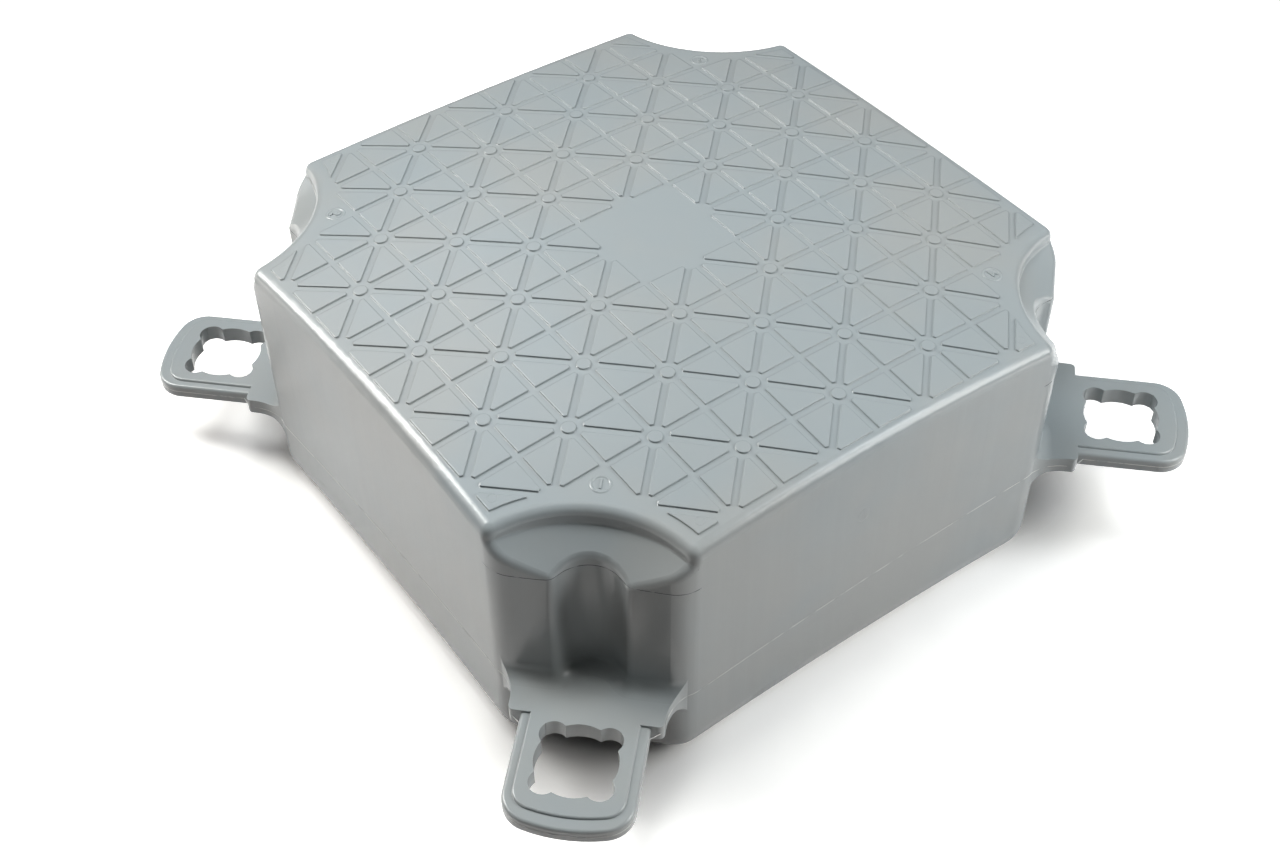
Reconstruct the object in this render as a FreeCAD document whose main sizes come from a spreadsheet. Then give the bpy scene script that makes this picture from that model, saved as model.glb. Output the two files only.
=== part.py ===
import FreeCAD, Part
import math
import os
import Sketcher
from FreeCAD import Placement, Rotation, Vector

# Floating dock cube: one closed blow moulding, half as tall as it is wide.
# A crowned, treaded deck stands on four slightly hollow sides. Each corner is cut
# off square to its diagonal, with a funnel-shaped recess for the head of a
# coupling pin, an upright hollow for its shank and a lug with a lobed hole.
# The four lugs stand at four heights, so that those of four neighbours stack up
# on one pin. Origin: middle of the base. +Z up. The pins stand at
# (module/2, module/2) and its mirror images.

SIZES = [
    # body
    ("module", 500, "distance between the pins of one side"),
    ("side_gap", 1.4, "gap between the sides of two neighbours, beside a corner"),
    ("side_hollow", 2.7, "how far the middle of a side lies behind its ends"),
    ("body_height", 220, "base to the deck's edge at the middle of a side"),
    ("crown_rise", 11.8, "rise of the deck from there to its middle"),
    ("top_edge_radius", 9, "rounding between deck and sides"),
    ("base_edge_radius", 28, "rounding between base and sides"),
    ("post_radius", 24, "rounding of each upright edge"),
    # corner
    ("pin_to_wall", 63, "pin axis to the corner's wall"),
    ("shank_hollow_radius", 26, "upright hollow in the corner's wall"),
    ("shank_hollow_depth", 15, "how deep it is set into the wall"),
    ("shank_lip_radius", 7, "rounding where it meets the wall"),
    ("recess_radius", 93, "pin axis to the recess's upright wall"),
    ("recess_edge_radius", 7, "rounding of its rim and of its floor's outer edge"),
    ("recess_wall_drop", 14.5, "foot of that wall below the deck's edge"),
    ("recess_foot_radius", 2, "rounding at that foot"),
    ("funnel_angle", 41.5, "slope of the recess's floor, in degrees"),
    # lugs
    ("first_lug_drop", 123.8, "deck's edge to the top of the highest lug"),
    ("lug_pitch", 14.4, "from one lug down to the next"),
    ("lug_thickness", 13.4, "thickness of a lug's plate"),
    ("lug_rim_step", 2, "step from the plate's top down to its rim"),
    ("lug_plate_half", 36.8, "half the width of the plate"),
    ("lug_plate_end", 41.5, "pin axis to the end of the plate"),
    ("lug_rim_width", 6.4, "width of the rim beside the plate"),
    ("lug_rim_end", 9, "width of the rim at the end of the plate"),
    ("lug_end_radius", 110, "bulge of the plate's and the rim's end, in plan"),
    ("lug_corner_radius", 21, "rounding of the rim's corners in plan"),
    ("rim_edge_radius", 2.4, "rounding of the rim's upper edge"),
    ("rim_foot_radius", 0.8, "rounding of the rim's lower edge"),
    ("plate_edge_radius", 1.5, "rounding of the plate's edge"),
    ("neck_half", 52, "half the width of a lug's neck"),
    ("neck_start", 33, "pin axis to the neck's shoulder"),
    ("neck_corner_radius", 4, "rounding of the shoulder"),
    ("flare_radius", 35, "hollow curve from the neck to the upright edge"),
    ("flare_sink", 0.8, "how far the curve's end lies inside that edge"),
    ("lug_root", 30, "how far a lug's neck reaches in behind the wall"),
    ("root_radius", 11, "hollow curve between a lug's faces and the wall"),
    ("hole_half", 27.9, "pin axis to the top of a lobe of the hole"),
    ("lobe_rise", 2.5, "height of the lobes above the points between them"),
    ("side_lobe_radius", 26.5, "lobe in the middle of each side of the hole"),
    ("corner_lobe_radius", 9.6, "lobe in each corner of the hole"),
    # tread
    ("tread_cell", 40, "side of one square of the tread"),
    ("tread_channel", 5.2, "channel between two pads"),
    ("pad_height", 1.2, "pad above the deck"),
    ("pad_tip", 3.4, "length cut off each sharp tip of a pad"),
    ("stud_radius", 5, "round stud where the channels cross"),
    ("tread_clearance", 6, "recess's rim to the nearest pad"),
]

CORNERS = 4
DECK_CELLS = 12
CORNER_BLANK_CELLS = 2
LOGO_BLANK_CELLS = 1

REACH = "(dims.module / sqrt(2) - dims.pin_to_wall)"
SIDE_HALF = "(dims.module / 2 - dims.side_gap / 2)"
SIDE_RUN = "(dims.module - sqrt(2) * dims.pin_to_wall - %s)" % SIDE_HALF
SIDE_RADIUS = "(({run}^2 + dims.side_hollow^2) / (2 * dims.side_hollow))".format(run=SIDE_RUN)
CROWN_RADIUS = "(((dims.module / 2)^2 + dims.crown_rise^2) / (2 * dims.crown_rise))"
CROWN_TOP = "(dims.body_height + dims.crown_rise)"
WALL_FLAT_HALF = (
    "(sqrt(2) * {half} - {reach} - dims.post_radius * tan(22.5 deg))".format(
        half=SIDE_HALF, reach=REACH
    )
)


def make_sheet(doc):
    """Put the driving sizes in a sheet, each with its name."""
    sheet = doc.addObject("Spreadsheet::Sheet", "dims")
    for row, (name, value, note) in enumerate(SIZES, start=1):
        sheet.set("A%d" % row, str(value))
        sheet.setAlias("A%d" % row, name)
        sheet.set("B%d" % row, note)
    doc.recompute()
    return sheet


def origin_item(body, role):
    """Plane or axis of a body's own origin."""
    return next(item for item in body.Origin.OriginFeatures if item.Role == role)


def value_of(item, expression):
    """Number that an expression has now."""
    result = item.evalExpression(expression)
    return float(getattr(result, "Value", result))


class Profile:
    """A sketch on one of its body's planes, with sizes tied to the sheet."""

    def __init__(self, body, plane, name):
        self.sketch = body.newObject("Sketcher::SketchObject", name)
        self.sketch.AttachmentSupport = [(origin_item(body, plane), "")]
        self.sketch.MapMode = "FlatFace"

    def value(self, expression):
        return value_of(self.sketch, expression)

    def turn(self, degrees):
        self.sketch.AttachmentOffset = Placement(Vector(), Rotation(Vector(0, 0, 1), degrees))

    def shift(self, axis, expression):
        self.sketch.setExpression("AttachmentOffset.Base." + axis, expression)

    def line(self, start, end):
        return self.sketch.addGeometry(Part.LineSegment(Vector(*start, 0), Vector(*end, 0)))

    def circle(self, centre, radius):
        return self.sketch.addGeometry(Part.Circle(Vector(*centre, 0), Vector(0, 0, 1), radius))

    def arc(self, centre, radius, start, end):
        circle = Part.Circle(Vector(*centre, 0), Vector(0, 0, 1), radius)
        return self.sketch.addGeometry(
            Part.ArcOfCircle(circle, math.radians(start), math.radians(end))
        )

    def rule(self, kind, *parts):
        return self.sketch.addConstraint(Sketcher.Constraint(kind, *parts))

    def size(self, kind, *parts_and_expression):
        *parts, expression = parts_and_expression
        index = self.rule(kind, *parts, self.value(expression))
        self.sketch.setExpression("Constraints[%d]" % index, expression)

    def polygon(self, points):
        """Closed run of lines; returns their numbers."""
        lines = [
            self.line(point, points[(n + 1) % len(points)]) for n, point in enumerate(points)
        ]
        for n, line in enumerate(lines):
            self.rule("Coincident", line, 2, lines[(n + 1) % len(lines)], 1)
        return lines


def finish(body, feature):
    """Make a feature the end of its body and bring the model up to date."""
    body.Tip = feature
    body.Document.recompute()
    return feature


def pad(body, profile, length, both_ways=False):
    feature = body.newObject("PartDesign::Pad", profile.sketch.Name + "_pad")
    feature.Profile = profile.sketch
    feature.SideType = "Symmetric" if both_ways else "One side"
    feature.setExpression("Length", length)
    return finish(body, feature)


def cut_through(body, profile):
    feature = body.newObject("PartDesign::Pocket", profile.sketch.Name + "_cut")
    feature.Profile = profile.sketch
    feature.Type = "ThroughAll"
    feature.SideType = "Symmetric"
    return finish(body, feature)


def groove(body, profile):
    feature = body.newObject("PartDesign::Groove", profile.sketch.Name + "_cut")
    feature.Profile = profile.sketch
    feature.ReferenceAxis = (profile.sketch, ["V_Axis"])
    feature.Angle = 360
    return finish(body, feature)


def repeat_round(body, feature, count=CORNERS):
    pattern = body.newObject("PartDesign::PolarPattern", feature.Name + "_set")
    pattern.Originals = [feature]
    pattern.Axis = (origin_item(body, "Z_Axis"), [""])
    pattern.Angle = 360
    pattern.Occurrences = count
    return finish(body, pattern)


def round_edges(body, wanted, radius, name):
    """Round the edges of the body so far that the test picks."""
    before = body.Tip
    names = ["Edge%d" % (n + 1) for n, edge in enumerate(before.Shape.Edges) if wanted(edge)]
    feature = body.newObject("PartDesign::Fillet", name)
    feature.Base = (before, names)
    feature.setExpression("Radius", radius)
    return finish(body, feature)


def samples(edge):
    """Points near both ends and in the middle of an edge."""
    first, last = edge.ParameterRange
    return [edge.valueAt(first + share * (last - first)) for share in (0.02, 0.5, 0.98)]


def is_upright(edge):
    points = samples(edge)
    return all(math.hypot(p.x - points[0].x, p.y - points[0].y) < 0.01 for p in points)


def along_corner(point):
    """Distance from the float's axis along the nearest diagonal."""
    return (abs(point.x) + abs(point.y)) / math.sqrt(2)


def across_corner(point):
    """Distance from that diagonal."""
    return abs(abs(point.x) - abs(point.y)) / math.sqrt(2)


def make_outline(body):
    """Square plan with four slightly hollow sides."""
    plan = Profile(body, "XY_Plane", "plan")
    radius = plan.value(SIDE_RADIUS)
    centre = plan.value(SIDE_HALF + " - dims.side_hollow") + radius
    corner = (2 * centre - math.sqrt(8 * radius ** 2 - 4 * centre ** 2)) / 4
    half_angle = math.degrees(math.asin(corner / radius))
    sides = []
    for quarter in range(CORNERS):
        turn = 90 * quarter
        place = (centre * math.cos(math.radians(turn)), centre * math.sin(math.radians(turn)))
        sides.append(plan.arc(place, radius, 180 + turn - half_angle, 180 + turn + half_angle))
    for n, side in enumerate(sides):
        plan.rule("Coincident", side, 1, sides[(n + 1) % CORNERS], 2)
    for side in sides[1:]:
        plan.rule("Equal", sides[0], side)
    plan.rule("PointOnObject", sides[0], 3, -1)
    plan.rule("PointOnObject", sides[1], 3, -2)
    plan.rule("Symmetric", sides[0], 3, sides[2], 3, -1, 1)
    plan.rule("Symmetric", sides[1], 3, sides[3], 3, -1, 1)
    centre_distance = "%s - dims.side_hollow + %s" % (SIDE_HALF, SIDE_RADIUS)
    plan.size("Radius", sides[0], SIDE_RADIUS)
    plan.size("DistanceX", -1, 1, sides[0], 3, centre_distance)
    plan.size("DistanceY", -1, 1, sides[1], 3, centre_distance)
    return plan


def make_crown(body):
    """Cut the deck to a low dome, turned about the float's axis."""
    profile = Profile(body, "XZ_Plane", "crown")
    radius = profile.value(CROWN_RADIUS)
    top = profile.value(CROWN_TOP)
    reach = profile.value("dims.module")
    roof = 2 * top
    edge_angle = math.degrees(math.acos(reach / radius))
    edge_height = top - radius + math.sqrt(radius ** 2 - reach ** 2)
    dome = profile.arc((0, top - radius), radius, edge_angle, 90)
    wall = profile.line((reach, edge_height), (reach, roof))
    lid = profile.line((reach, roof), (0, roof))
    axis = profile.line((0, roof), (0, top))
    profile.rule("Coincident", dome, 1, wall, 1)
    profile.rule("Coincident", wall, 2, lid, 1)
    profile.rule("Coincident", lid, 2, axis, 1)
    profile.rule("Coincident", axis, 2, dome, 2)
    profile.rule("Vertical", wall)
    profile.rule("Horizontal", lid)
    profile.rule("PointOnObject", dome, 3, -2)
    profile.rule("PointOnObject", dome, 2, -2)
    profile.rule("PointOnObject", lid, 2, -2)
    profile.size("Radius", dome, CROWN_RADIUS)
    profile.size("DistanceX", -1, 1, lid, 1, "dims.module")
    profile.size("DistanceY", -1, 1, dome, 2, CROWN_TOP)
    profile.size("DistanceY", -1, 1, lid, 2, "2 * " + CROWN_TOP)
    return groove(body, profile)


def make_corner_cuts(body):
    """Cut each corner off square to its diagonal."""
    plan = Profile(body, "XY_Plane", "corner")
    plan.turn(45)
    reach = plan.value(REACH)
    room = plan.value("dims.module / 2")
    sides = plan.polygon([(reach, -room), (reach + room, -room), (reach + room, room), (reach, room)])
    plan.rule("Horizontal", sides[0])
    plan.rule("Vertical", sides[1])
    plan.rule("Horizontal", sides[2])
    plan.rule("Symmetric", sides[3], 1, sides[3], 2, -1)
    plan.size("DistanceX", -1, 1, sides[0], 1, REACH)
    plan.size("DistanceX", sides[0], 1, sides[0], 2, "dims.module / 2")
    plan.size("DistanceY", sides[1], 1, sides[1], 2, "dims.module")
    return repeat_round(body, cut_through(body, plan))


def make_shank_hollows(body):
    """Upright hollow in each corner's wall, for the shank of a pin."""
    plan = Profile(body, "XY_Plane", "shank_hollow")
    plan.turn(45)
    centre = REACH + " + dims.shank_hollow_radius - dims.shank_hollow_depth"
    hollow = plan.circle((plan.value(centre), 0), plan.value("dims.shank_hollow_radius"))
    plan.rule("PointOnObject", hollow, 3, -1)
    plan.size("Radius", hollow, "dims.shank_hollow_radius")
    plan.size("DistanceX", -1, 1, hollow, 3, centre)
    repeat_round(body, cut_through(body, plan))

    half_width = value_of(
        body,
        "sqrt(dims.shank_hollow_radius^2 - (dims.shank_hollow_radius - dims.shank_hollow_depth)^2)",
    )
    reach = value_of(body, REACH)

    def is_lip(edge):
        middle = samples(edge)[1]
        return (
            is_upright(edge)
            and abs(along_corner(middle) - reach) < 0.05
            and abs(across_corner(middle) - half_width) < 0.05
        )

    return round_edges(body, is_lip, "dims.shank_lip_radius", "shank_lips")


def make_recesses(body):
    """Funnel round each pin, turned about the pin: upright wall, then sloping floor."""
    profile = Profile(body, "XZ_Plane", "recess")
    profile.shift("x", "dims.module / 2")
    profile.shift("z", "dims.module / 2")
    radius = profile.value("dims.recess_radius")
    foot = profile.value("dims.recess_foot_radius")
    angle = profile.value("dims.funnel_angle")
    slope = math.radians(angle)
    floor = profile.value("dims.body_height - dims.recess_wall_drop")
    roof = profile.value("2 * " + CROWN_TOP)
    setback = foot * math.tan(math.pi / 4 - slope / 2)
    foot_end = (radius - setback * math.cos(slope), floor - setback * math.sin(slope))
    apex = (0, floor - radius * math.tan(slope))

    wall = profile.line((radius, roof), (radius, floor + setback))
    hollow = profile.arc((radius - foot, floor + setback), foot, angle - 90, 0)
    funnel = profile.line(foot_end, apex)
    axis = profile.line(apex, (0, roof))
    lid = profile.line((0, roof), (radius, roof))
    profile.rule("Tangent", wall, 2, hollow, 2)
    profile.rule("Tangent", hollow, 1, funnel, 1)
    profile.rule("Coincident", funnel, 2, axis, 1)
    profile.rule("Coincident", axis, 2, lid, 1)
    profile.rule("Coincident", lid, 2, wall, 1)
    profile.rule("Vertical", wall)
    profile.rule("Horizontal", lid)
    profile.rule("PointOnObject", funnel, 2, -2)
    profile.rule("PointOnObject", lid, 1, -2)
    profile.size("Radius", hollow, "dims.recess_foot_radius")
    profile.size("DistanceX", -1, 1, wall, 1, "dims.recess_radius")
    profile.size("DistanceY", -1, 1, lid, 1, "2 * " + CROWN_TOP)
    profile.size(
        "DistanceY", -1, 1, funnel, 2,
        "dims.body_height - dims.recess_wall_drop"
        " - dims.recess_radius * tan(dims.funnel_angle * 1 deg)",
    )
    profile.size("Angle", funnel, 2, axis, 1, "(90 - dims.funnel_angle) * 1 deg")
    return repeat_round(body, groove(body, profile))


def round_deck_edges(body):
    """Round the deck over into the four sides."""
    crown_radius = value_of(body, CROWN_RADIUS)
    crown_centre = Vector(0, 0, value_of(body, CROWN_TOP) - crown_radius)
    side = value_of(body, SIDE_HALF + " - dims.side_hollow")

    def is_deck_edge(edge):
        return all(
            abs(point.distanceToPoint(crown_centre) - crown_radius) < 0.01
            and max(abs(point.x), abs(point.y)) > side - 0.5
            for point in samples(edge)
        )

    return round_edges(body, is_deck_edge, "dims.top_edge_radius", "deck_edges")


def round_recess_edges(body):
    """Round each recess's rim, and its floor's outer edge, which the rim runs into."""
    crown_radius = value_of(body, CROWN_RADIUS)
    crown_centre = Vector(0, 0, value_of(body, CROWN_TOP) - crown_radius)
    pin = value_of(body, "dims.module / 2")
    radius = value_of(body, "dims.recess_radius")
    floor = value_of(body, "dims.body_height - dims.recess_wall_drop")
    slope = math.tan(math.radians(value_of(body, "dims.funnel_angle")))

    def is_recess_edge(edge):
        points = samples(edge)
        reaches = [math.hypot(abs(p.x) - pin, abs(p.y) - pin) for p in points]
        on_rim = all(
            abs(p.distanceToPoint(crown_centre) - crown_radius) < 0.01
            and abs(reach - radius) < 0.01
            for p, reach in zip(points, reaches)
        )
        on_funnel = all(
            abs(p.z - floor + (radius - reach) * slope) < 0.01
            for p, reach in zip(points, reaches)
        )
        return on_rim or (on_funnel and max(reaches) - min(reaches) > 0.1)

    return round_edges(body, is_recess_edge, "dims.recess_edge_radius", "recess_edges")


def is_base_edge(edge):
    return all(point.z < 0.01 for point in samples(edge))


def make_hull(doc):
    """The closed body of the float, without its lugs and tread."""
    body = doc.addObject("PartDesign::Body", "hull")
    pad(body, make_outline(body), "dims.body_height + 2 * dims.crown_rise")
    make_crown(body)
    make_corner_cuts(body)
    round_edges(body, is_upright, "dims.post_radius", "posts")
    make_shank_hollows(body)
    make_recesses(body)
    round_deck_edges(body)
    round_recess_edges(body)
    round_edges(body, is_base_edge, "dims.base_edge_radius", "base_edges")
    return body


def tongue(body, name, half, end):
    """Plan of a lug's plate or rim: parallel sides and a slightly bulging end."""
    plan = Profile(body, "XY_Plane", name)
    half_width = plan.value(half)
    tip = plan.value(end)
    bulge = plan.value("dims.lug_end_radius")
    back = -plan.value("dims.pin_to_wall")
    angle = math.degrees(math.asin(half_width / bulge))
    shoulder = tip - bulge + math.sqrt(bulge ** 2 - half_width ** 2)
    nose = plan.arc((tip - bulge, 0), bulge, -angle, angle)
    left = plan.line((shoulder, half_width), (back, half_width))
    root = plan.line((back, half_width), (back, -half_width))
    right = plan.line((back, -half_width), (shoulder, -half_width))
    plan.rule("Coincident", nose, 2, left, 1)
    plan.rule("Coincident", left, 2, root, 1)
    plan.rule("Coincident", root, 2, right, 1)
    plan.rule("Coincident", right, 2, nose, 1)
    plan.rule("Horizontal", left)
    plan.rule("Horizontal", right)
    plan.rule("Symmetric", root, 1, root, 2, -1)
    plan.rule("PointOnObject", nose, 3, -1)
    plan.size("Radius", nose, "dims.lug_end_radius")
    plan.size("DistanceX", -1, 1, nose, 3, end + " - dims.lug_end_radius")
    plan.size("DistanceY", -1, 1, left, 2, half)
    plan.size("DistanceX", root, 1, -1, 1, "dims.pin_to_wall")
    return plan


def round_tongue_corners(body, half, radius, name):
    """Round the end corners of a tongue in plan."""
    half_width = value_of(body, half)

    def is_end_corner(edge):
        middle = samples(edge)[1]
        return is_upright(edge) and middle.x > 0 and abs(abs(middle.y) - half_width) < 0.01

    return round_edges(body, is_end_corner, radius, name)


def round_level_edges(body, level, radius, name):
    """Round the edges of a tongue's upper or lower face."""
    height = value_of(body, level)

    def is_level_edge(edge):
        return all(abs(point.z - height) < 0.01 for point in samples(edge))

    return round_edges(body, is_level_edge, radius, name)


def neck_plan(body):
    """Plan of a lug's neck: a shoulder, then a hollow curve out to each upright edge."""
    plan = Profile(body, "XY_Plane", "neck")
    half = plan.value("dims.neck_half")
    start = -plan.value("dims.neck_start")
    radius = plan.value("dims.flare_radius")
    post_along = "(dims.pin_to_wall + dims.post_radius)"
    post_gap = "(dims.flare_radius + dims.post_radius - dims.flare_sink)"
    side_step = "(dims.neck_half + dims.flare_radius - %s)" % WALL_FLAT_HALF
    along_step = "sqrt(%s^2 - %s^2)" % (post_gap, side_step)
    centre_along = plan.value("%s - %s" % (along_step, post_along))
    centre_across = half + radius
    turn = math.degrees(math.atan2(plan.value(side_step), plan.value(along_step)))
    back = -plan.value("dims.pin_to_wall + dims.lug_root")
    end_along = centre_along - radius * math.cos(math.radians(turn))
    end_across = centre_across - radius * math.sin(math.radians(turn))

    left = plan.arc((centre_along, centre_across), radius, 180 + turn, 270)
    right = plan.arc((centre_along, -centre_across), radius, 90, 180 - turn)
    left_side = plan.line((centre_along, half), (start, half))
    shoulder = plan.line((start, half), (start, -half))
    right_side = plan.line((start, -half), (centre_along, -half))
    right_root = plan.line((end_along, -end_across), (back, -end_across))
    root = plan.line((back, -end_across), (back, end_across))
    left_root = plan.line((back, end_across), (end_along, end_across))
    plan.rule("Tangent", left, 2, left_side, 1)
    plan.rule("Coincident", left_side, 2, shoulder, 1)
    plan.rule("Coincident", shoulder, 2, right_side, 1)
    plan.rule("Tangent", right_side, 2, right, 1)
    plan.rule("Coincident", right, 2, right_root, 1)
    plan.rule("Coincident", right_root, 2, root, 1)
    plan.rule("Coincident", root, 2, left_root, 1)
    plan.rule("Coincident", left_root, 2, left, 1)
    plan.rule("Horizontal", left_side)
    plan.rule("Horizontal", right_side)
    plan.rule("Horizontal", right_root)
    plan.rule("Horizontal", left_root)
    plan.rule("Symmetric", shoulder, 1, shoulder, 2, -1)
    plan.rule("Vertical", root)
    plan.rule("Equal", left, right)
    plan.rule("Symmetric", left_root, 2, right_root, 1, -1)
    plan.size("Radius", left, "dims.flare_radius")
    plan.size("DistanceX", shoulder, 1, -1, 1, "dims.neck_start")
    plan.size("DistanceY", -1, 1, shoulder, 1, "dims.neck_half")
    plan.size("DistanceX", left, 3, -1, 1, "%s - %s" % (post_along, along_step))
    plan.size("DistanceX", root, 1, -1, 1, "dims.pin_to_wall + dims.lug_root")
    plan.size("DistanceX", left, 1, -1, 1, "%s - %s * (1 - dims.flare_radius / %s)" % (
        post_along, along_step, post_gap))
    return plan


def make_hole(body):
    """Square hole whose sides and corners swell outwards in shallow lobes."""
    square = Profile(body, "XY_Plane", "hole")
    inner = square.value("dims.hole_half - dims.lobe_rise")
    sides = square.polygon([(inner, -inner), (inner, inner), (-inner, inner), (-inner, -inner)])
    for side, kind in zip(sides, ("Vertical", "Horizontal") * 2):
        square.rule(kind, side)
    square.rule("Symmetric", sides[0], 1, sides[2], 1, -1, 1)
    square.size("DistanceX", -1, 1, sides[0], 1, "dims.hole_half - dims.lobe_rise")
    square.size("DistanceY", -1, 1, sides[0], 2, "dims.hole_half - dims.lobe_rise")
    cut_through(body, square)
    for name, turn, radius, centre in (
        ("side_lobe", 0, "dims.side_lobe_radius", "dims.hole_half - dims.side_lobe_radius"),
        (
            "corner_lobe", 45, "dims.corner_lobe_radius",
            "(dims.hole_half - dims.corner_lobe_radius) * sqrt(2)",
        ),
    ):
        lobe = Profile(body, "XY_Plane", name)
        lobe.turn(turn)
        ring = lobe.circle((lobe.value(centre), 0), lobe.value(radius))
        lobe.rule("PointOnObject", ring, 3, -1)
        lobe.size("Radius", ring, radius)
        lobe.size("DistanceX", -1, 1, ring, 3, centre)
        repeat_round(body, cut_through(body, lobe))


def round_neck_corners(body):
    """Round the shoulder's corners in plan."""
    start = value_of(body, "dims.neck_start")
    half = value_of(body, "dims.neck_half")

    def is_shoulder_corner(edge):
        middle = samples(edge)[1]
        at_corner = math.hypot(middle.x + start, abs(middle.y) - half) < 0.01
        return is_upright(edge) and at_corner

    return round_edges(body, is_shoulder_corner, "dims.neck_corner_radius", "neck_corners")


def place_lug(body, number):
    """Turn a lug to its corner, counted clockwise from above, and set its height."""
    angle = 45 - 90 * number
    along = "dims.module / 2 * %d"
    body.Placement = Placement(Vector(), Rotation(Vector(0, 0, 1), angle))
    body.setExpression("Placement.Base.x", along % (1 if number in (0, 1) else -1))
    body.setExpression("Placement.Base.y", along % (1 if number in (0, 3) else -1))
    body.setExpression(
        "Placement.Base.z",
        "dims.body_height - dims.first_lug_drop - %d * dims.lug_pitch"
        " - dims.lug_thickness / 2" % number,
    )


def make_lug(doc, number):
    """One lug, round its own pin axis, +X outwards; the plate's middle is at z = 0.

    A rim runs round the plate, flush with it below and a step lower above.
    """
    body = doc.addObject("PartDesign::Body", "lug_%d" % (number + 1))
    top = "dims.lug_thickness / 2"
    rim_top = top + " - dims.lug_rim_step"
    rim_half = "(dims.lug_plate_half + dims.lug_rim_width)"
    rim_end = "(dims.lug_plate_end + dims.lug_rim_end)"
    rim = tongue(body, "rim", rim_half, rim_end)
    rim.shift("z", "-dims.lug_rim_step / 2")
    pad(body, rim, "dims.lug_thickness - dims.lug_rim_step", both_ways=True)
    round_tongue_corners(body, rim_half, "dims.lug_corner_radius", "rim_corners")
    round_level_edges(body, rim_top, "dims.rim_edge_radius", "rim_upper_edges")
    round_level_edges(body, "-" + top, "dims.rim_foot_radius", "rim_lower_edges")
    plate = tongue(body, "plate", "dims.lug_plate_half", "dims.lug_plate_end")
    pad(body, plate, "dims.lug_thickness", both_ways=True)
    round_tongue_corners(
        body, "dims.lug_plate_half", "dims.lug_corner_radius - dims.lug_rim_width", "plate_corners"
    )
    round_level_edges(body, top, "dims.plate_edge_radius", "plate_edges")
    pad(body, neck_plan(body), "dims.lug_thickness", both_ways=True)
    round_neck_corners(body)
    make_hole(body)
    place_lug(body, number)
    return body


def pad_outline(cell, channel, tip):
    """Half a square, its right angle at the origin, drawn in by the channels."""
    inset = channel / 2
    leg = cell - inset * (1 + math.sqrt(2))
    slant = tip / math.sqrt(2)
    return [
        (inset, inset),
        (leg - tip, inset),
        (leg - slant, inset + slant),
        (inset + slant, leg - slant),
        (inset, leg - tip),
    ]


def is_bare(column, row):
    """Whether a square of the tread is left plain: the four corners and the middle."""
    half = DECK_CELLS // 2
    far = [-half <= n < CORNER_BLANK_CELLS - half or half - CORNER_BLANK_CELLS <= n < half
           for n in (column, row)]
    near = [-LOGO_BLANK_CELLS <= n < LOGO_BLANK_CELLS for n in (column, row)]
    return all(far) or all(near)


def tread_pads(sheet, low, high):
    """Two three-cornered pads in each square; the slants meet at every other crossing."""
    outline = pad_outline(sheet.tread_cell, sheet.tread_channel, sheet.pad_tip)
    corner_pin = sheet.module / 2
    reach = sheet.recess_radius + sheet.recess_edge_radius + sheet.tread_clearance
    half = DECK_CELLS // 2
    pads = []
    for column in range(-half, half):
        for row in range(-half, half):
            if is_bare(column, row):
                continue
            odd = (column + row) % 2
            for side in (0, 1):
                square_corner = (column + side, row + (1 - side if odd else side))
                turn = (1 - 2 * side, (2 * side - 1 if odd else 1 - 2 * side))
                points = [
                    Vector(
                        square_corner[0] * sheet.tread_cell + turn[0] * x,
                        square_corner[1] * sheet.tread_cell + turn[1] * y,
                        low,
                    )
                    for x, y in outline
                ]
                face = Part.Face(Part.makePolygon(points + points[:1]))
                solid = face.extrude(Vector(0, 0, high - low))
                nearest = min(
                    math.hypot(abs(p.x) - corner_pin, abs(p.y) - corner_pin) for p in points
                )
                if nearest < reach:
                    pin = Vector(
                        math.copysign(corner_pin, points[0].x),
                        math.copysign(corner_pin, points[0].y),
                        low,
                    )
                    solid = solid.cut(Part.makeCylinder(reach, high - low, pin))
                pads.extend(solid.Solids)
    return pads


def tread_studs(sheet, low, high):
    """Round studs at every other crossing of the channels, away from bare squares."""
    last = DECK_CELLS // 2 - 1
    bare_from = DECK_CELLS // 2 - CORNER_BLANK_CELLS
    studs = []
    for column in range(-last, last + 1):
        for row in range(-last, last + 1):
            in_corner = abs(column) >= bare_from and abs(row) >= bare_from
            in_middle = abs(column) <= LOGO_BLANK_CELLS and abs(row) <= LOGO_BLANK_CELLS
            if (column + row) % 2 == 0 or in_corner or in_middle:
                continue
            foot = Vector(column * sheet.tread_cell, row * sheet.tread_cell, low)
            studs.append(Part.makeCylinder(sheet.stud_radius, high - low, foot))
    return studs


def make_tread(doc, sheet):
    """The raised tread: its pads and studs all end a fixed height above the dome."""
    tread = doc.addObject("Part::Feature", "tread")
    crown_radius = value_of(sheet, CROWN_RADIUS)
    crown_top = value_of(sheet, CROWN_TOP)
    low = sheet.body_height - sheet.crown_rise
    high = crown_top + sheet.crown_rise
    skin = Part.makeSphere(
        crown_radius + sheet.pad_height, Vector(0, 0, crown_top - crown_radius)
    )
    blocks = Part.makeCompound(
        tread_pads(sheet, low, high) + tread_studs(sheet, low, high)
    )
    tread.Shape = blocks.common(skin)
    return tread


def fuse(doc, name, pieces):
    union = doc.addObject("Part::MultiFuse", name)
    union.Shapes = pieces
    union.Refine = True
    doc.recompute()
    return union


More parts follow.
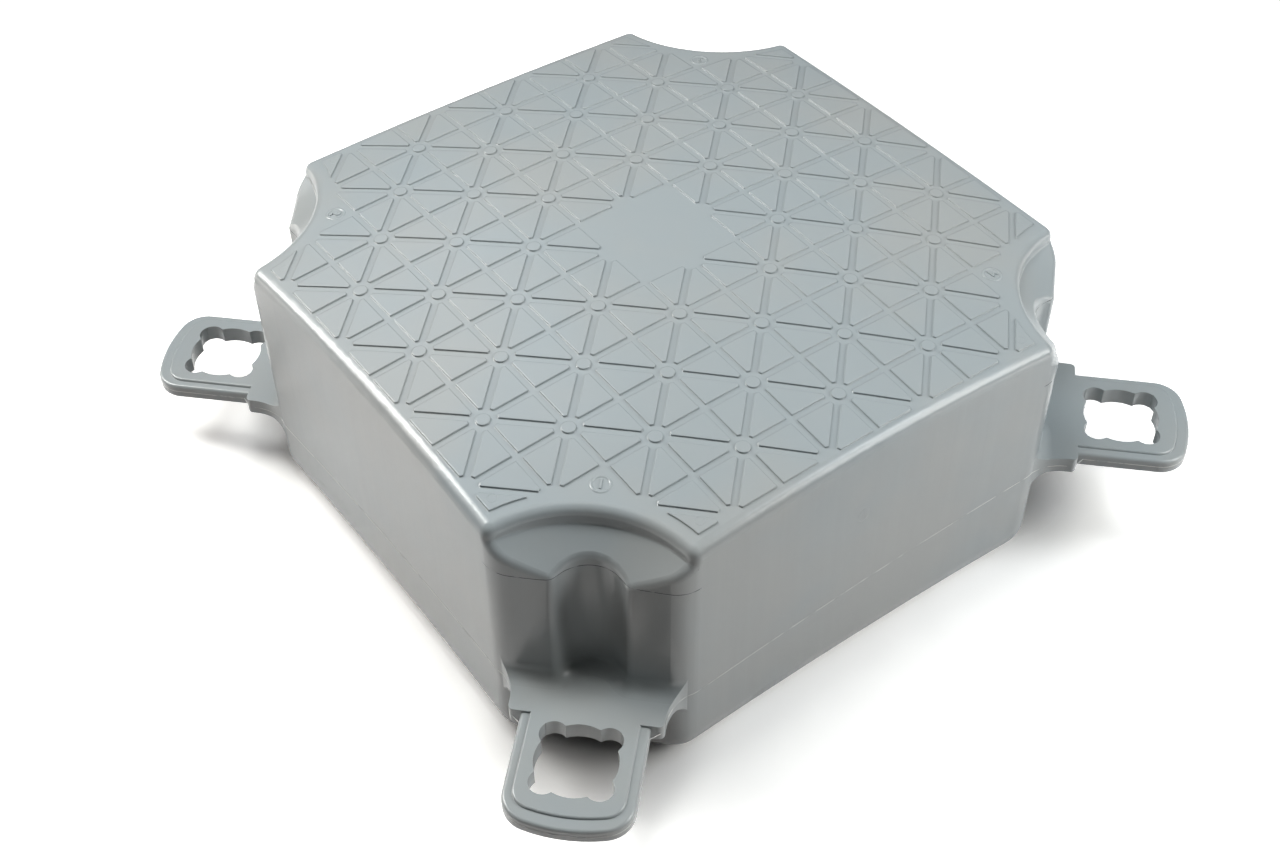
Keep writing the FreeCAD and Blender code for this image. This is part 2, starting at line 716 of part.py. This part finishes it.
def make_moulding(doc, hull, lugs):
    """Hull and lugs as one, with a hollow curve along each lug's root."""
    body = doc.addObject("PartDesign::Body", "moulding")
    body.BaseFeature = fuse(doc, "hull_and_lugs", [hull] + lugs)
    doc.recompute()
    reach = value_of(body, REACH)
    half = value_of(body, "dims.lug_thickness") / 2
    levels = [lug.Placement.Base.z + side * half for lug in lugs for side in (1, -1)]

    def is_root_edge(edge):
        points = samples(edge)
        return any(
            all(abs(p.z - level) < 0.01 and along_corner(p) < reach + 0.05 for p in points)
            for level in levels
        )

    round_edges(body, is_root_edge, "dims.root_radius", "roots")
    return body


def check(doc, sub_parts):
    """Stop before anything is written if a feature or a sub-part has failed."""
    for item in doc.Objects:
        if "Invalid" in item.State or "Error" in item.State:
            raise RuntimeError("%s failed: %s" % (item.Name, item.getStatusString()))
    for item in sub_parts:
        if item.Shape.isNull() or not item.Shape.isValid():
            raise RuntimeError("%s has no valid shape" % item.Label)
        if len(item.Shape.Solids) != 1:
            raise RuntimeError("%s is not one solid" % item.Label)


doc = FreeCAD.newDocument("dock_float")
dims = make_sheet(doc)
hull = make_hull(doc)
lugs = [make_lug(doc, number) for number in range(CORNERS)]
tread = make_tread(doc, dims)
moulding = make_moulding(doc, hull, lugs)
sub_parts = [fuse(doc, "float_body", [moulding, tread])]
check(doc, sub_parts)
os.makedirs("parts", exist_ok=True)
for sub_part in sub_parts:
    sub_part.Shape.exportStep("parts/%s.step" % sub_part.Label)
    print(sub_part.Label, round(sub_part.Shape.Volume), len(sub_part.Shape.Faces), "faces")
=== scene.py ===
import math

import bmesh
import bpy
from mathutils import Matrix, Vector
from mathutils.bvhtree import BVHTree


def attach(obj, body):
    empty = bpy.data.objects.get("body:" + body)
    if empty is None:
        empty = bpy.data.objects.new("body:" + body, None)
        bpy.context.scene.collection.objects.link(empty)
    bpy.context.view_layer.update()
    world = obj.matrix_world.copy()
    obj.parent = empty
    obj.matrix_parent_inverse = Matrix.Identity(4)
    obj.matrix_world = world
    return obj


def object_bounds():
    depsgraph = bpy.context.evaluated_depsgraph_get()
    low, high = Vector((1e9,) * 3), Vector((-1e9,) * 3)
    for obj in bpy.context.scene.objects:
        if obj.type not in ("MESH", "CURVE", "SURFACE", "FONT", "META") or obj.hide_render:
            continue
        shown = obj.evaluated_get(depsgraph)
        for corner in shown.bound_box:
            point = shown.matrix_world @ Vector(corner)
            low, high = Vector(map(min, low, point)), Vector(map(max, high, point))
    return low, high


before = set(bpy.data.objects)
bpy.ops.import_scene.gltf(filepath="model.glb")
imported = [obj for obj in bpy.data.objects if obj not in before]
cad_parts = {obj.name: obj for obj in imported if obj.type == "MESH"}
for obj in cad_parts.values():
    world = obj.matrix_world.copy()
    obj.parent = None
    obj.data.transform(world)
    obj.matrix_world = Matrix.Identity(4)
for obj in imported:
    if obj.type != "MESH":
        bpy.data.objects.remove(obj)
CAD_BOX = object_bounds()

# All lengths are in metres. These ones repeat the part's own sizes.
MODULE = 0.500
HEIGHT = 0.220
PIN = MODULE / 2
FIRST_LUG_DROP = 0.1238
LUG_PITCH = 0.0144
LUG_SEAM_DROP = 0.0077
INSERT_SEAM_DROP = 0.0375

# Signs of x and y of each corner, from the highest lug round to the lowest.
CORNERS = ((1, 1), (1, -1), (-1, -1), (-1, 1))

# Edges look this much rounder than they are modelled: the tread, which lies above DECK_LOW, and
# all that lies below it.
DECK_LOW = 0.2135
TREAD_SOFTNESS = 0.0013
LUG_SOFTNESS = 0.0004
SOFTNESS_SAMPLES = 12

# Colours in steps of 0-255.
COOL_GREY = (161, 170, 174)
WARM_GREY = (166, 171, 172)
SCRAPED_GREY = (214, 217, 215)
JOINT_GREY = (92, 97, 99)
WHITE = (1, 1, 1, 1)

# The plastic's finish. Scales are in noise cells per metre.
CLOUD_SCALE = 7.0
STREAK_SCALES = (95.0, 95.0, 3.5)
STREAK_TONE = 0.06
STREAK_HEIGHT = 0.00010
GRAIN_SCALE, GRAIN_HEIGHT = 1300.0, 0.000012
PEEL_SCALE, PEEL_HEIGHT = 130.0, 0.00005
WAVE_SCALE, WAVE_HEIGHT = 26.0, 0.00022
ROUGH_SCALE, ROUGH_LEAST, ROUGH_SPREAD = 23.0, 0.21, 0.08
TRACE_SCALE = 90.0
REFRACTIVE_INDEX = 1.52

# Raised lines on the skin: an oval section that sinks in and shrinks at the ends of a line.
BEAD_SIDES = 8
BEAD_WIDTH = 1.5
BEAD_SINK = 0.45
BEAD_END_SINK = 0.9
BEAD_END_SIZE = 0.35
BEAD_END_STEPS = 4
BEAD_LEAST_TAPER = 0.05
SHORTEST_STEP = 0.0002

# Corner marks: numeral and corner of each, in the order that they are made.
MARKS = (("1", 1, -1), ("2", -1, -1), ("3", -1, 1), ("4", 1, 1))
MARK_PLACE = 0.170
MARK_RADIUS = 0.0063
MARK_THICKNESS = 0.0009
NUMERAL_SIZE = 0.0105
NUMERAL_HEIGHT = 0.0006

# Ejector rings on the two clipped pads beside each recess.
PAD_RING_PLACES = ((0.138, 0.2305), (0.2305, 0.138))
PAD_RING_RADIUS = 0.0032
PAD_RING_THICKNESS = 0.0002

# Parting line and insert seam. The rays that find the skin start a reach away from the pin, from
# the middle of the float or from the corner. The rim's half turn is in degrees.
RIM_HALF_TURN = 126.0
RIM_REACH = 0.15
RIM_LINE = 0.00030
SIDE_HALF = 0.1885
SIDE_SLOPE = 0.300
SIDE_REACH = 0.4
SIDE_LINE = 0.00027
LINE_HALF_STEPS = 120
INSERT_HALF = 0.072
INSERT_REACH = 0.1
INSERT_WANDER = 0.0012
INSERT_WANDER_RATE = 62
INSERT_LINE = 0.00026
INSERT_HALF_STEPS = 75

# The floor: white to the camera, with a painted shadow that darkens it under each corner, dull to
# the light that it throws back at the object.
FLOOR_HALF = 6.0
PAPER_SCALE = 40.0
PAPER_TONES = (0.79, 0.81)
# Painted shadow on the floor under each corner: its middle, its reach and its darkest tone.
CORNER_SHADE_PLACE = (0.195, 0.195, 0.0)
CORNER_SHADE_RADIUS = 0.095
CORNER_SHADE_TONE = 0.18
DULL_COLOUR = (0.32, 0.28, 0.27, 1)
FADE_START, FADE_END = 0.55, 1.15
SKY_STRENGTH = 0.015

# Lamps: soft boxes and low strips on both flanks, one box overhead that gloss doesn't see, and
# two that only gloss sees, for the glints on rounded edges. Name, azimuth and elevation in
# degrees, distance, width and height, watts, tint.
AIM = Vector((0.0, 0.0, 0.12))
WARM = (1.05, 1.0, 0.95)
PLAIN = (1.0, 1.0, 0.97)
COOL = (0.94, 1.0, 1.08)
LAMPS = (
    ("left_strip", 215, 0, 1.7, 1.0, 0.22, 3.2, WARM),
    ("right_strip", 45, 0, 1.7, 1.0, 0.22, 3.3, WARM),
    ("left_box", 225, 30, 1.6, 0.7, 0.7, 6.0, WARM),
    ("left_high_box", 218, 52, 1.6, 0.5, 0.5, 9.0, PLAIN),
    ("back_box", 175, 50, 1.6, 0.8, 0.8, 2.5, COOL),
    ("right_front_box", 38, 30, 1.6, 0.7, 0.7, 12.8, PLAIN),
    ("right_high_box", 48, 53, 1.6, 0.5, 0.5, 2.5, COOL),
    ("top_box", 270, 82, 1.12, 0.4, 0.4, 5.0, PLAIN),
    ("left_glint", 216, 36, 1.6, 0.5, 1.0, 19.0, PLAIN),
    ("right_glint", 48, 50, 1.6, 0.3, 0.3, 2.5, PLAIN),
)

# The camera stands where the photograph's did. Focal length and sensor are in millimetres.
EYE = (0.77598, -0.57650, HEIGHT + 0.78640)
AHEAD = (-0.57136, 0.41217, -0.70970)
RIGHT = (0.59109, 0.80658, -0.00743)
FOCAL_LENGTH = 48.04
SENSOR_WIDTH = 36.0
CLIP_START = 0.01


def srgb(*steps):
    """A colour given in 0-255 steps, as linear values."""
    def linear(value):
        value /= 255
        return value / 12.92 if value <= 0.04045 else ((value + 0.055) / 1.055) ** 2.4
    return tuple(linear(step) for step in steps) + (1.0,)


class Nodes:
    """Short names for building the node tree of a material or a world."""

    def __init__(self, owner, output):
        owner.use_nodes = True
        self.owner = owner
        self.tree = owner.node_tree
        self.tree.nodes.clear()
        self.output = self.add(output)

    def put(self, socket, value):
        """Link a socket to another one, or set it."""
        if isinstance(value, bpy.types.NodeSocket):
            self.tree.links.new(value, socket)
        else:
            socket.default_value = value

    def add(self, kind, values=None, **settings):
        node = self.tree.nodes.new(kind)
        for key, value in settings.items():
            setattr(node, key, value)
        for key, value in (values or {}).items():
            self.put(node.inputs[key], value)
        return node

    def math(self, operation, *values):
        return self.add("ShaderNodeMath", dict(enumerate(values)), operation=operation).outputs[0]

    def remap(self, value, low, high, to_low=0.0, to_high=1.0):
        """A smooth step from to_low, where value is low, to to_high, where it is high."""
        node = self.add("ShaderNodeMapRange", {
            "Value": value, "From Min": low, "From Max": high, "To Min": to_low, "To Max": to_high,
        }, interpolation_type="SMOOTHSTEP")
        return node.outputs[0]

    def noise(self, point, scale, detail=2.0, roughness=0.5):
        return self.add("ShaderNodeTexNoise", {
            "Vector": point, "Scale": scale, "Detail": detail, "Roughness": roughness,
        }).outputs[0]

    def blend(self, factor, first, second):
        """A mix of two colours."""
        node = self.add("ShaderNodeMix", data_type="RGBA")
        for index, value in ((0, factor), (6, first), (7, second)):
            self.put(node.inputs[index], value)
        return node.outputs[2]

    def choose(self, factor, first, second):
        """A mix of two shaders."""
        return self.add("ShaderNodeMixShader", {
            0: factor, 1: first.outputs[0], 2: second.outputs[0],
        })

    def finish(self, shader):
        self.put(self.output.inputs["Surface"], shader.outputs[0])
        return self.owner


def material_nodes(name):
    return Nodes(bpy.data.materials.new(name), "ShaderNodeOutputMaterial")


def moulded_plastic(name, soften=False, trace=None):
    """Blow-moulded polyethylene: satin, faintly clouded, with a fine grain and drawn streaks on
    its upright faces. Soften rounds the edges in its shading, and trace is the colour of the
    broken line that a knife or the mould leaves along a seam."""
    n = material_nodes(name)
    point = n.add("ShaderNodeTexCoord").outputs["Object"]
    true_normal = n.add("ShaderNodeNewGeometry").outputs["True Normal"]
    facing = n.add("ShaderNodeSeparateXYZ", {0: true_normal})
    upright = n.remap(n.math("ABSOLUTE", facing.outputs["Z"]), 0.25, 0.75, 1.0, 0.0)

    cloud = n.noise(point, CLOUD_SCALE, 3.0, 0.55)
    stretched = n.add("ShaderNodeMapping", {"Vector": point, "Scale": STREAK_SCALES})
    drawn = n.noise(stretched.outputs[0], 1.0, 3.0, 0.6)

    base = n.blend(n.remap(cloud, 0.35, 0.65), srgb(*COOL_GREY), srgb(*WARM_GREY))
    amount = n.math("MULTIPLY", upright, STREAK_TONE)
    streak = n.math("MULTIPLY", n.math("SUBTRACT", drawn, 0.5), amount)
    shade = n.math("ADD", streak, 1.0)
    colour = n.add("ShaderNodeVectorMath", {0: base, "Scale": shade}, operation="SCALE").outputs[0]
    if trace:
        broken = n.remap(n.noise(point, TRACE_SCALE, 3.0), 0.36, 0.52)
        colour = n.blend(broken, colour, srgb(*trace))

    uneven = n.math("MULTIPLY", n.noise(point, ROUGH_SCALE, 1.0), ROUGH_SPREAD)
    rough = n.math("ADD", uneven, ROUGH_LEAST)

    grain = n.math("MULTIPLY", n.noise(point, GRAIN_SCALE, 2.0, 0.6), GRAIN_HEIGHT)
    peel = n.math("MULTIPLY", n.noise(point, PEEL_SCALE, 2.0, 0.5), PEEL_HEIGHT)
    waves = n.math("MULTIPLY", n.noise(point, WAVE_SCALE, 1.0), WAVE_HEIGHT)
    streaks = n.math("MULTIPLY", n.math("MULTIPLY", drawn, upright), STREAK_HEIGHT)
    relief = n.math("ADD", grain, peel)
    relief = n.math("ADD", relief, waves)
    relief = n.math("ADD", relief, streaks)
    bump_values = {"Strength": 1.0, "Distance": 1.0, "Height": relief}
    if soften:
        level = n.add("ShaderNodeSeparateXYZ", {0: point}).outputs["Z"]
        radius = n.remap(level, DECK_LOW - 0.001, DECK_LOW, LUG_SOFTNESS, TREAD_SOFTNESS)
        edge = n.add("ShaderNodeBevel", {"Radius": radius}, samples=SOFTNESS_SAMPLES)
        bump_values["Normal"] = edge.outputs[0]
    bump = n.add("ShaderNodeBump", bump_values)

    return n.finish(n.add("ShaderNodeBsdfPrincipled", {
        "Base Color": colour, "Roughness": rough, "Normal": bump.outputs[0],
        "IOR": REFRACTIVE_INDEX, "Specular IOR Level": 0.5,
    }))


def piece(name, mesh, material):
    """A piece of the object: shown, riding with the body, in the body's finish."""
    item = bpy.data.objects.new(name, mesh)
    bpy.context.scene.collection.objects.link(item)
    mesh.materials.clear()
    mesh.materials.append(material)
    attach(item, "root")
    return item


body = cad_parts["float_body"]
surface = BVHTree.FromPolygons(
    [vertex.co.copy() for vertex in body.data.vertices],
    [tuple(polygon.vertices) for polygon in body.data.polygons],
)


def meet_skin(origin, way):
    """Where a ray first meets the skin, with the skin's outward normal."""
    spot, normal, _, _ = surface.ray_cast(origin, way)
    return (spot, -normal) if normal.dot(way) > 0 else (spot, normal)


def deck_spot(x, y):
    """Point of the deck's skin below (x, y) and the way up from it."""
    return meet_skin(Vector((x, y, 1.0)), Vector((0, 0, -1)))


def bead(mesh_data, points, normals, radius, closed):
    """A fine raised line of half-sunk oval section along points on the skin."""
    count = len(points)
    rings = []
    for index, point in enumerate(points):
        before = points[index - 1] if closed or index else points[0]
        after = points[(index + 1) % count] if closed or index < count - 1 else points[-1]
        along = (after - before).normalized()
        up = (normals[index] - along * normals[index].dot(along)).normalized()
        across = along.cross(up)
        taper = 1.0
        if not closed:
            nearest_end = min(index, count - 1 - index)
            taper = max(BEAD_LEAST_TAPER, min(1.0, nearest_end / BEAD_END_STEPS))
        centre = point - up * (radius * (BEAD_SINK * taper + BEAD_END_SINK * (1 - taper)))
        size = radius * (BEAD_END_SIZE + (1 - BEAD_END_SIZE) * taper)
        ring = []
        for side in range(BEAD_SIDES):
            turn = 2 * math.pi * side / BEAD_SIDES
            offset = across * (BEAD_WIDTH * math.cos(turn)) + up * math.sin(turn)
            ring.append(mesh_data.verts.new(centre + offset * size))
        rings.append(ring)
    for index in range(count if closed else count - 1):
        first, second = rings[index], rings[(index + 1) % count]
        for side in range(BEAD_SIDES):
            other = (side + 1) % BEAD_SIDES
            mesh_data.faces.new((first[side], first[other], second[other], second[side]))
    if not closed:
        mesh_data.faces.new(rings[0][::-1])
        mesh_data.faces.new(rings[-1])


def finish_mesh(name, mesh_data):
    bmesh.ops.recalc_face_normals(mesh_data, faces=mesh_data.faces[:])
    for face in mesh_data.faces:
        face.smooth = True
    mesh = bpy.data.meshes.new(name)
    mesh_data.to_mesh(mesh)
    mesh_data.free()
    return mesh


def ring_on_deck(mesh_data, x, y, radius, thickness, steps):
    """A closed raised ring round (x, y) on the deck."""
    turns = [2 * math.pi * step / steps for step in range(steps)]
    found = [deck_spot(x + radius * math.cos(turn), y + radius * math.sin(turn)) for turn in turns]
    points, normals = zip(*found)
    bead(mesh_data, points, normals, thickness, closed=True)


def numeral(text, x, y):
    """A raised numeral that lies on the deck and reads from outside its corner."""
    curve = bpy.data.curves.new("numeral", "FONT")
    curve.body = text
    curve.size = NUMERAL_SIZE
    curve.align_x = "CENTER"
    curve.align_y = "CENTER"
    curve.extrude = NUMERAL_HEIGHT
    curve.bevel_depth = NUMERAL_HEIGHT * 0.5
    curve.bevel_resolution = 2
    curve.resolution_u = 6
    source = bpy.data.objects.new("numeral", curve)
    mesh = bpy.data.meshes.new_from_object(source)
    low = [min(vertex.co[axis] for vertex in mesh.vertices) for axis in range(2)]
    high = [max(vertex.co[axis] for vertex in mesh.vertices) for axis in range(2)]
    mesh.transform(Matrix.Translation((-(low[0] + high[0]) / 2, -(low[1] + high[1]) / 2, 0)))
    spot, up = deck_spot(x, y)
    inwards = Vector((-x, -y, 0)).normalized()
    top = (inwards - up * inwards.dot(up)).normalized()
    place = Matrix((top.cross(up), top, up)).transposed().to_4x4()
    place.translation = spot
    mesh.transform(place)
    bpy.data.objects.remove(source)
    bpy.data.curves.remove(curve)
    for polygon in mesh.polygons:
        polygon.use_smooth = False
    return mesh


def trace_line(mesh_data, rays, radius):
    """A fine raised line through the points where a row of rays meets the skin."""
    points, normals = [], []
    for origin, way in rays:
        spot, normal = meet_skin(origin, way)
        if points and (spot - points[-1]).length < SHORTEST_STEP:
            continue
        points.append(spot)
        normals.append(normal)
    bead(mesh_data, points, normals, radius, closed=False)


def even_places(half_steps):
    """Even places from -1 to 1, with 0 in the middle."""
    return [step / half_steps - 1 for step in range(2 * half_steps + 1)]


def corner_ways(way_x, way_y):
    """The level way out of the float at a corner, and the way across it."""
    outwards = Vector((way_x, way_y, 0)).normalized()
    return outwards, Vector((-outwards.y, outwards.x, 0))


def seam_level(number):
    """Height of the mould's parting line round a lug."""
    return HEIGHT - FIRST_LUG_DROP - number * LUG_PITCH - LUG_SEAM_DROP


def rim_rays(number):
    """Rays towards a lug's pin, for the parting line round its rim."""
    way_x, way_y = CORNERS[number]
    outwards, across = corner_ways(way_x, way_y)
    pin = Vector((way_x * PIN, way_y * PIN, seam_level(number)))
    for place in even_places(LINE_HALF_STEPS):
        turn = math.radians(RIM_HALF_TURN * place)
        way = outwards * math.cos(turn) + across * math.sin(turn)
        yield pin + way * RIM_REACH, -way


def side_rays(number):
    """Rays at the side between a lug and the next, whose seam is at another height."""
    following = (number + 1) % len(CORNERS)
    way_x, way_y = CORNERS[number]
    level, next_level = seam_level(number), seam_level(following)
    for place in even_places(LINE_HALF_STEPS):
        run = SIDE_HALF * place
        share = max(0.0, min(1.0, 0.5 + run / SIDE_SLOPE))
        z = level + (next_level - level) * share
        if way_x == CORNERS[following][0]:
            yield Vector((way_x * SIDE_REACH, -way_y * run, z)), Vector((-way_x, 0, 0))
        else:
            yield Vector((-way_x * run, way_y * SIDE_REACH, z)), Vector((0, -way_y, 0))


def insert_rays(number):
    """Rays at a corner's wall and upright hollow, for the seam of the mould's corner insert."""
    way_x, way_y = CORNERS[number]
    outwards, across = corner_ways(way_x, way_y)
    for place in even_places(INSERT_HALF_STEPS):
        aside = INSERT_HALF * place
        wander = INSERT_WANDER * math.sin(aside * INSERT_WANDER_RATE + way_x)
        height = HEIGHT - INSERT_SEAM_DROP + wander
        start = Vector((way_x * PIN, way_y * PIN, height))
        yield start + across * aside + outwards * INSERT_REACH, -outwards


# Materials.
skin = moulded_plastic("hdpe_moulded", soften=True)
detail = moulded_plastic("hdpe_detail")
scraped = moulded_plastic("hdpe_scraped", trace=SCRAPED_GREY)
joint = moulded_plastic("hdpe_joint", trace=JOINT_GREY)
for holder in body.material_slots:
    holder.link = "OBJECT"
    holder.material = skin

# A ring with a plain numeral on the bare deck beside each recess.
for text, way_x, way_y in MARKS:
    x, y = way_x * MARK_PLACE, way_y * MARK_PLACE
    rings = bmesh.new()
    ring_on_deck(rings, x, y, MARK_RADIUS, MARK_THICKNESS, steps=48)
    piece("mark_ring_" + text, finish_mesh("mark_ring_" + text, rings), detail)
    piece("mark_numeral_" + text, numeral(text, x, y), detail)

# Faint ejector rings on the clipped pads.
rings = bmesh.new()
for way_x, way_y in CORNERS:
    for x, y in PAD_RING_PLACES:
        ring_on_deck(rings, way_x * x, way_y * y, PAD_RING_RADIUS, PAD_RING_THICKNESS, steps=32)
piece("pad_rings", finish_mesh("pad_rings", rings), detail)

# Mould parting line. Round each lug it follows the rim; along each side it runs from the
# shoulder of one lug to that of the next and changes height on the way.
lines = bmesh.new()
insert_lines = bmesh.new()
for number in range(len(CORNERS)):
    trace_line(lines, rim_rays(number), RIM_LINE)
    trace_line(lines, side_rays(number), SIDE_LINE)
    trace_line(insert_lines, insert_rays(number), INSERT_LINE)
for vertex in lines.verts:
    vertex.co = [max(low, min(high, value)) for value, low, high in zip(vertex.co, *CAD_BOX)]
piece("parting_lines", finish_mesh("parting_lines", lines), scraped)
piece("insert_lines", finish_mesh("insert_lines", insert_lines), joint)

# Floor. Two diffuse shaders added up make it white in the light that suits the object, and it
# fades to plain white where the lamps no longer reach.
floor_mesh = bpy.data.meshes.new("floor")
floor_mesh.from_pydata(
    [(x * FLOOR_HALF, y * FLOOR_HALF, 0) for x, y in ((-1, -1), (1, -1), (1, 1), (-1, 1))],
    [], [(0, 1, 2, 3)],
)
floor = bpy.data.objects.new("floor", floor_mesh)
bpy.context.scene.collection.objects.link(floor)

n = material_nodes("floor_paper")
point = n.add("ShaderNodeTexCoord").outputs["Object"]
path = n.add("ShaderNodeLightPath")
camera_ray = path.outputs["Is Camera Ray"]
seen = n.math("MAXIMUM", camera_ray, path.outputs["Is Glossy Ray"])
seen = n.math("MAXIMUM", seen, path.outputs["Is Transmission Ray"])

tone = n.remap(n.noise(point, PAPER_SCALE), 0.3, 0.7, *PAPER_TONES)
# Painted shadow: the paper's tone falls towards the floor below each corner.
folded = n.add("ShaderNodeVectorMath", {0: point}, operation="ABSOLUTE")
away = n.add("ShaderNodeVectorMath", {0: folded.outputs[0], 1: CORNER_SHADE_PLACE},
             operation="DISTANCE")
shade = n.remap(away.outputs["Value"], 0.0, CORNER_SHADE_RADIUS, CORNER_SHADE_TONE, 1.0)
tone = n.math("MULTIPLY", tone, shade)
paper = n.add("ShaderNodeCombineColor", {0: tone, 1: tone, 2: tone}).outputs[0]
first = n.add("ShaderNodeBsdfDiffuse", {"Color": paper})
second = n.add("ShaderNodeBsdfDiffuse", {"Color": paper})
bright = n.add("ShaderNodeAddShader", {0: first.outputs[0], 1: second.outputs[0]})
dull = n.add("ShaderNodeBsdfDiffuse", {"Color": DULL_COLOUR})

spread = n.add("ShaderNodeVectorMath", {0: point}, operation="LENGTH")
far = n.remap(spread.outputs["Value"], FADE_START, FADE_END)
far = n.math("MULTIPLY", far, camera_ray)
white = n.add("ShaderNodeEmission", {"Color": WHITE, "Strength": 1.0})
floor_mesh.materials.append(n.finish(n.choose(far, n.choose(seen, dull, bright), white)))

# World: dim to the object, white behind it.
n = Nodes(bpy.data.worlds.new("studio"), "ShaderNodeOutputWorld")
sky = n.add("ShaderNodeBackground", {"Color": WHITE, "Strength": SKY_STRENGTH})
plain = n.add("ShaderNodeBackground", {"Color": WHITE, "Strength": 1.0})
camera_ray = n.add("ShaderNodeLightPath").outputs["Is Camera Ray"]
bpy.context.scene.world = n.finish(n.choose(camera_ray, sky, plain))

for name, azimuth, elevation, distance, width, tall, watts, tint in LAMPS:
    azimuth, elevation = math.radians(azimuth), math.radians(elevation)
    way = Vector((math.cos(azimuth) * math.cos(elevation),
                  math.sin(azimuth) * math.cos(elevation), math.sin(elevation)))
    light = bpy.data.lights.new(name, "AREA")
    light.shape = "RECTANGLE"
    light.size = width
    light.size_y = tall
    light.energy = watts
    light.color = tint
    lamp = bpy.data.objects.new(name, light)
    lamp.location = AIM + way * distance
    lamp.rotation_euler = (AIM - lamp.location).to_track_quat("-Z", "Y").to_euler()
    lamp.visible_diffuse = not name.endswith("glint")
    lamp.visible_glossy = name != "top_box"
    bpy.context.scene.collection.objects.link(lamp)

lens = bpy.data.cameras.new("camera")
lens.lens = FOCAL_LENGTH
lens.sensor_width = SENSOR_WIDTH
lens.sensor_fit = "HORIZONTAL"
lens.clip_start = CLIP_START
ahead = Vector(AHEAD).normalized()
right = Vector(RIGHT)
right = (right - ahead * right.dot(ahead)).normalized()
turn = Matrix((right, right.cross(ahead), -ahead)).transposed().to_4x4()
camera = bpy.data.objects.new("camera", lens)
camera.matrix_world = Matrix.Translation(EYE) @ turn
bpy.context.scene.collection.objects.link(camera)
bpy.context.scene.camera = camera
bpy.context.scene.view_settings.view_transform = "Standard"
